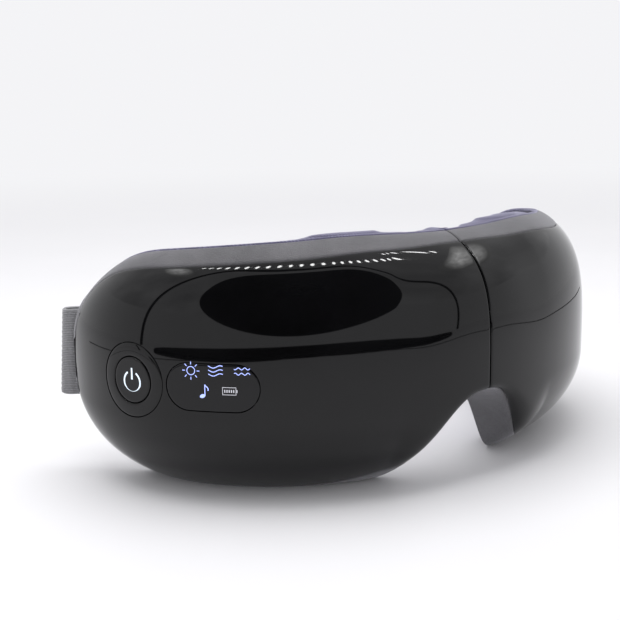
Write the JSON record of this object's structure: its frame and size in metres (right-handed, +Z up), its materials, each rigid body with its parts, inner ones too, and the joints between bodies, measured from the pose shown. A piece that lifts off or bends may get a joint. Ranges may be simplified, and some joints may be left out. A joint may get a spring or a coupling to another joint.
{
  "type": "eye massager mask",
  "caption": "Foldable eye massager mask: glossy visor in two hinged pods with leather rim, soft eye pads, power button, display window and strap.",
  "frame": {"origin": "middle of the underside, on the surface the mask stands on", "axes": "+X across the face towards the wearer's left, -Y to the front, +Z up"},
  "size_m": [0.206, 0.1096, 0.0853],
  "materials": {
    "gloss_shell": "polished near-black moulded plastic",
    "display_glass": "smoked gloss window",
    "button_gloss": "polished near-black",
    "rim_leather": "fine-grained dark grey synthetic leather",
    "pad_fabric": "soft brushed indigo knit over foam",
    "frame_plastic": "moulded matte black",
    "strap_knit": "grey elastic knit webbing",
    "patch": "hook and loop patch",
    "steel": "plain steel",
    "circuit_board": "green laminate",
    "battery_wrap": "foil pouch",
    "clear_guide": "milky light guide",
    "motor_can": "drawn steel can",
    "brass_weight": "sintered weight",
    "bag_film": "thin air bag film",
    "plate_plastic": "white moulded plate",
    "heater": "amber heating film",
    "speaker_cone": "speaker",
    "port_metal": "stamped shell"
  },
  "bodies": {
    "left_pod": {"front_shell_left": "gloss_shell", "leather_rim_left": "rim_leather", "rear_frame_left": "frame_plastic", "eye_pad_left": "pad_fabric", "shell_screws_left": "steel", "hinge_screws_left": "steel", "air_bag_left": "bag_film", "vibration_motor_left": "motor_can", "speaker_left": "speaker_cone", "strap_bar_left": "steel", "strap_left": "strap_knit", "hinge_leaf_left": "steel", "hook_patch": "patch", "power_button_ring": "button_gloss", "tact_switch": "frame_plastic", "button_board": "circuit_board", "display_window": "display_glass", "light_guide": "clear_guide", "main_circuit_board": "circuit_board", "hinge_pin": "steel"},
    "right_pod": {"front_shell_right": "gloss_shell", "leather_rim_right": "rim_leather", "rear_frame_right": "frame_plastic", "eye_pad_right": "pad_fabric", "shell_screws_right": "steel", "hinge_screws_right": "steel", "air_bag_right": "bag_film", "vibration_motor_right": "motor_can", "speaker_right": "speaker_cone", "strap_bar_right": "steel", "strap_right": "strap_knit", "hinge_leaf_right": "steel", "loop_patch": "patch", "battery": "battery_wrap", "pump_motor": "motor_can", "pump_head": "frame_plastic", "valve_body": "motor_can", "charge_port": "port_metal", "charge_board": "circuit_board"},
    "power_button": {"power_button": "button_gloss"},
    "massage_plate_left": {"massage_plate_left": "plate_plastic", "heating_film_left": "heater"},
    "massage_plate_right": {"massage_plate_right": "plate_plastic", "heating_film_right": "heater"},
    "vibration_weight_left": {"vibration_weight_left": "brass_weight"},
    "vibration_weight_right": {"vibration_weight_right": "brass_weight"},
    "pump_crank": {"pump_crank": "plate_plastic"},
    "valve_plunger": {"valve_plunger": "steel"}
  },
  "joints": [
    {"name": "fold", "type": "hinge", "parent": "left_pod", "child": "right_pod", "pos_m": [0, -0.02915, 0.059], "axis": [0, 0, 1], "range_deg": [0, 96]},
    {"name": "power_press", "type": "slide", "parent": "left_pod", "child": "power_button", "axis": [0.9445, 0.3285, 0], "range_m": [0, 0.0004], "stiffness_N_per_m": 2000},
    {"name": "massage_left", "type": "slide", "parent": "left_pod", "child": "massage_plate_left", "axis": [0.3521, 0.936, 0], "range_m": [0, 0.002], "stiffness_N_per_m": 400},
    {"name": "massage_right", "type": "slide", "parent": "right_pod", "child": "massage_plate_right", "axis": [-0.3521, 0.936, 0], "range_m": [0, 0.002], "stiffness_N_per_m": 400},
    {"name": "vibrate_left", "type": "hinge", "parent": "left_pod", "child": "vibration_weight_left", "pos_m": [-0.06159, -0.018, 0.0495], "axis": [0, 0, 1], "continuous": true},
    {"name": "vibrate_right", "type": "hinge", "parent": "right_pod", "child": "vibration_weight_right", "pos_m": [0.06159, -0.018, 0.0495], "axis": [0, 0, 1], "continuous": true},
    {"name": "pump_turn", "type": "hinge", "parent": "right_pod", "child": "pump_crank", "pos_m": [0.05111, -0.03623, 0.0382], "axis": [0, 0, 1], "continuous": true},
    {"name": "valve_lift", "type": "slide", "parent": "right_pod", "child": "valve_plunger", "axis": [0, 0, 1], "range_m": [0, 0.0012], "stiffness_N_per_m": 300}
  ]
}
